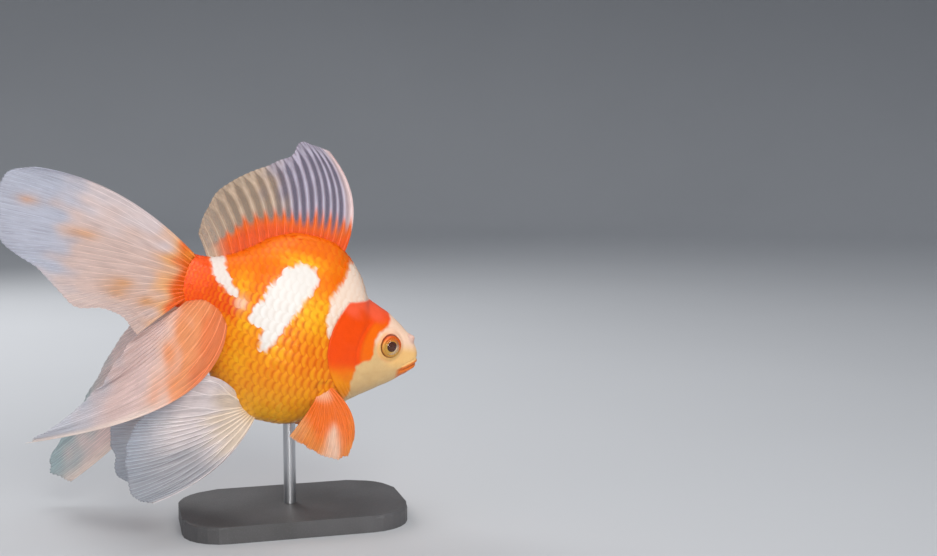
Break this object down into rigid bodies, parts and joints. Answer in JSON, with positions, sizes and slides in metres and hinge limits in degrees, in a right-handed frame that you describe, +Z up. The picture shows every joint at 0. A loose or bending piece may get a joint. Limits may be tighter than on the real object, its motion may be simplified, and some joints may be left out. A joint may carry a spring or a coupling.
{
  "type": "fancy goldfish model",
  "caption": "Stocky fancy goldfish with an arched back, tall dorsal fin and spread double tail, held nose-down over a flat base by a short rod.",
  "frame": {"origin": "centre of the underside of the stand base, on the floor", "axes": "+X the way the head points, +Y to the fish's left, +Z up"},
  "size_m": [0.1681, 0.0955, 0.1602],
  "materials": {
    "skin": "wet satin, scaled, orange and white",
    "lips": "satin",
    "fin": "thin milky membrane over fine rays",
    "orange_fin": "thin membrane over fine rays",
    "eye": "polished",
    "base": "matt dark grey",
    "rod": "brushed"
  },
  "bodies": {
    "root": {"head": "skin", "gill_cover_right": "skin", "gill_cover_left": "skin", "trunk": "skin", "tail_stalk": "skin", "nostril_right": "skin", "nostril_left": "skin", "upper_lip": "lips", "lower_lip": "lips", "eye_right": "eye", "eye_left": "eye", "dorsal_fin": "orange_fin", "tail_upper_right": "fin", "tail_upper_left": "fin", "tail_lower_right": "fin", "tail_lower_left": "fin", "anal_fin_right": "fin", "anal_fin_left": "fin", "pelvic_fin_right": "fin", "pelvic_fin_left": "fin", "pectoral_fin_right": "orange_fin", "pectoral_fin_left": "orange_fin", "stand_base": "base", "stand_rod": "rod"}
  },
  "joints": []
}
